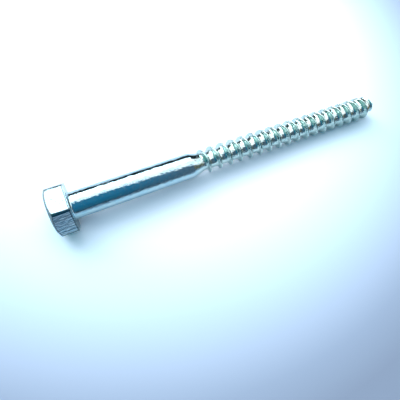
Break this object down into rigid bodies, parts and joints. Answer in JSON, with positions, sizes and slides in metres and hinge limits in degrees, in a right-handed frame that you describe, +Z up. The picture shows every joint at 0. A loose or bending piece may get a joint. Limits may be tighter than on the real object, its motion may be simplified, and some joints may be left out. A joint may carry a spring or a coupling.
{
  "type": "lag screw",
  "caption": "Hexagon-head lag screw with a plain shank, a coarse wood-screw thread and a gimlet point, lying as it comes to rest.",
  "frame": {"origin": "middle of the screw's footprint, on the surface that it lies on", "axes": "+X along the screw from head to tip, the axis dipping about 1.6 degrees to the tip; +Z up"},
  "size_m": [0.1472, 0.0196, 0.0172],
  "materials": {
    "zinc_plated_steel": "bright zinc plating with a pale blue passivation, slightly rippled"
  },
  "bodies": {
    "root": {"lag_screw": "zinc_plated_steel"}
  },
  "joints": []
}
